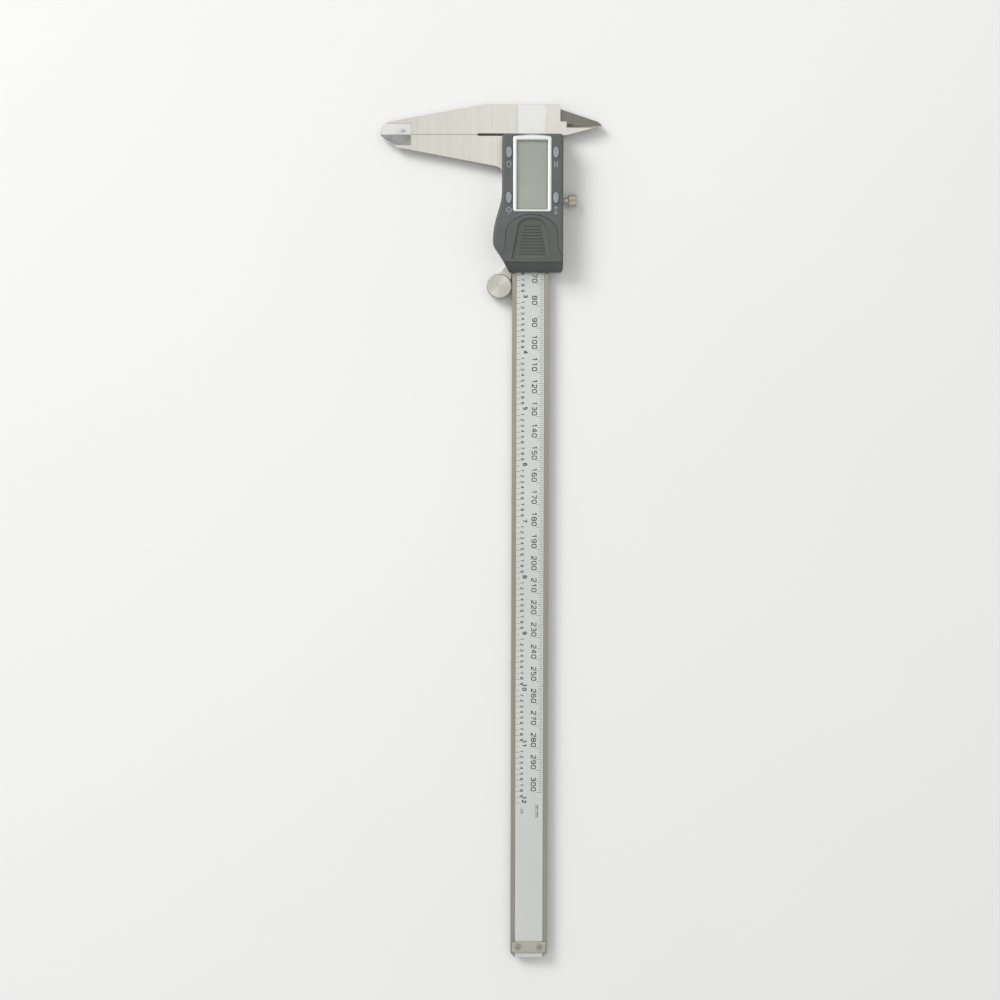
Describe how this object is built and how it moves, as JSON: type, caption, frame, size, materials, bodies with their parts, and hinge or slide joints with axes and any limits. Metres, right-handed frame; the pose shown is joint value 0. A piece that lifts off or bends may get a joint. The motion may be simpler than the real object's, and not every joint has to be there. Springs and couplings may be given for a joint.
{
  "type": "digital caliper",
  "caption": "Digital slide caliper with outside and inside jaws, display head, lock screw, thumb roller and depth rod.",
  "frame": {"origin": "under the centre of the bounding box, on the plane of the slider's back, with the jaws shut", "axes": "+X along the beam from the jaws to the tail, +Y across it towards the inside jaws and the lock screw, +Z out of the front face with the display"},
  "size_m": [0.3856, 0.1006, 0.0164],
  "materials": {
    "satin_steel": "satin ground stainless steel",
    "bright_steel": "polished or nickel plated steel",
    "bronze": "plain bronze, worn smooth",
    "scale_film": "satin silver film with dark print",
    "circuit_board": "green solder mask",
    "black_plastic": "finely textured moulding",
    "cover_plastic": "finely textured moulding with a ribbed grip",
    "silver_trim": "bright plated plastic",
    "clear_window": "clear acrylic",
    "display_panel": "reflective liquid crystal panel, switched off",
    "black_rubber": "moulded rubber",
    "black_epoxy": "cast epoxy",
    "button_plastic": "silver painted plastic",
    "cell_steel": "nickel plated can",
    "contact_metal": "plated spring metal",
    "felt": "pressed felt"
  },
  "bodies": {
    "beam": {"beam_with_fixed_jaws": "satin_steel", "scale_stator": "circuit_board", "scale_label": "scale_film", "end_stop_plate": "satin_steel", "end_stop_screw_lower": "bright_steel", "end_stop_screw_upper": "bright_steel"},
    "slider": {"slider_frame_with_moving_jaws": "satin_steel", "gib_strip": "bronze", "gib_screw_jaw_end": "bright_steel", "gib_screw_tail_end": "bright_steel", "depth_rod": "satin_steel", "depth_rod_pin": "bright_steel", "scale_wiper_jaw_end": "felt", "scale_wiper_tail_end": "felt", "circuit_board": "circuit_board", "controller_chip": "black_epoxy", "lcd_panel": "display_panel", "zebra_connector_lower": "black_rubber", "zebra_connector_upper": "black_rubber", "lcd_window": "clear_window", "lcd_bezel": "silver_trim", "switch_zero": "contact_metal", "switch_power": "contact_metal", "switch_hold": "contact_metal", "switch_unit": "contact_metal", "button_cell": "cell_steel", "battery_contact_negative": "contact_metal", "battery_contact_positive": "contact_metal", "battery_seal_ring": "black_rubber", "display_housing": "black_plastic", "housing_gasket": "black_rubber", "housing_screw_jaw_lower": "bright_steel", "housing_screw_jaw_upper": "bright_steel", "housing_screw_tail_lower": "bright_steel", "housing_screw_tail_upper": "bright_steel"},
    "roller": {"thumb_roller": "bright_steel", "roller_screw": "bright_steel", "roller_spring_washer": "bright_steel"},
    "lock_shoe": {"lock_shoe": "bronze"},
    "lock_screw": {"lock_screw": "bright_steel"},
    "battery_cover": {"battery_cover": "cover_plastic"},
    "button_zero": {"button_zero": "button_plastic"},
    "button_power": {"button_power": "button_plastic"},
    "button_hold": {"button_hold": "button_plastic"},
    "button_unit": {"button_unit": "button_plastic"}
  },
  "joints": [
    {"name": "slider_travel", "type": "slide", "parent": "beam", "child": "slider", "axis": [1, 0, 0], "range_m": [0, 0.302]},
    {"name": "roller_spin", "type": "hinge", "parent": "slider", "child": "roller", "pos_m": [-0.11065, 0.00395, 0.0044], "axis": [0, 0, 1], "continuous": true},
    {"name": "lock_shoe_travel", "type": "slide", "parent": "slider", "child": "lock_shoe", "axis": [0, 1, 0], "range_m": [0, 0.00075]},
    {"name": "lock_screw_turn", "type": "hinge", "parent": "lock_shoe", "child": "lock_screw", "pos_m": [-0.14955, 0.0335, 0.0044], "axis": [0, 1, 0], "range_deg": [0, 541]},
    {"name": "battery_cover_slide", "type": "slide", "parent": "slider", "child": "battery_cover", "axis": [1, 0, 0], "range_m": [0, 0.022]},
    {"name": "button_zero_press", "type": "slide", "parent": "slider", "child": "button_zero", "axis": [0, 0, -1], "range_m": [0, 0.0004], "stiffness_N_per_m": 2000},
    {"name": "button_power_press", "type": "slide", "parent": "slider", "child": "button_power", "axis": [0, 0, -1], "range_m": [0, 0.0004], "stiffness_N_per_m": 2000},
    {"name": "button_hold_press", "type": "slide", "parent": "slider", "child": "button_hold", "axis": [0, 0, -1], "range_m": [0, 0.0004], "stiffness_N_per_m": 2000},
    {"name": "button_unit_press", "type": "slide", "parent": "slider", "child": "button_unit", "axis": [0, 0, -1], "range_m": [0, 0.0004], "stiffness_N_per_m": 2000}
  ],
  "couplings": [
    {"joint": "roller_spin", "follows": "slider_travel", "rad_per_m": 175.44},
    {"joint": "lock_screw_turn", "follows": "lock_shoe_travel", "rad_per_m": 12566}
  ]
}
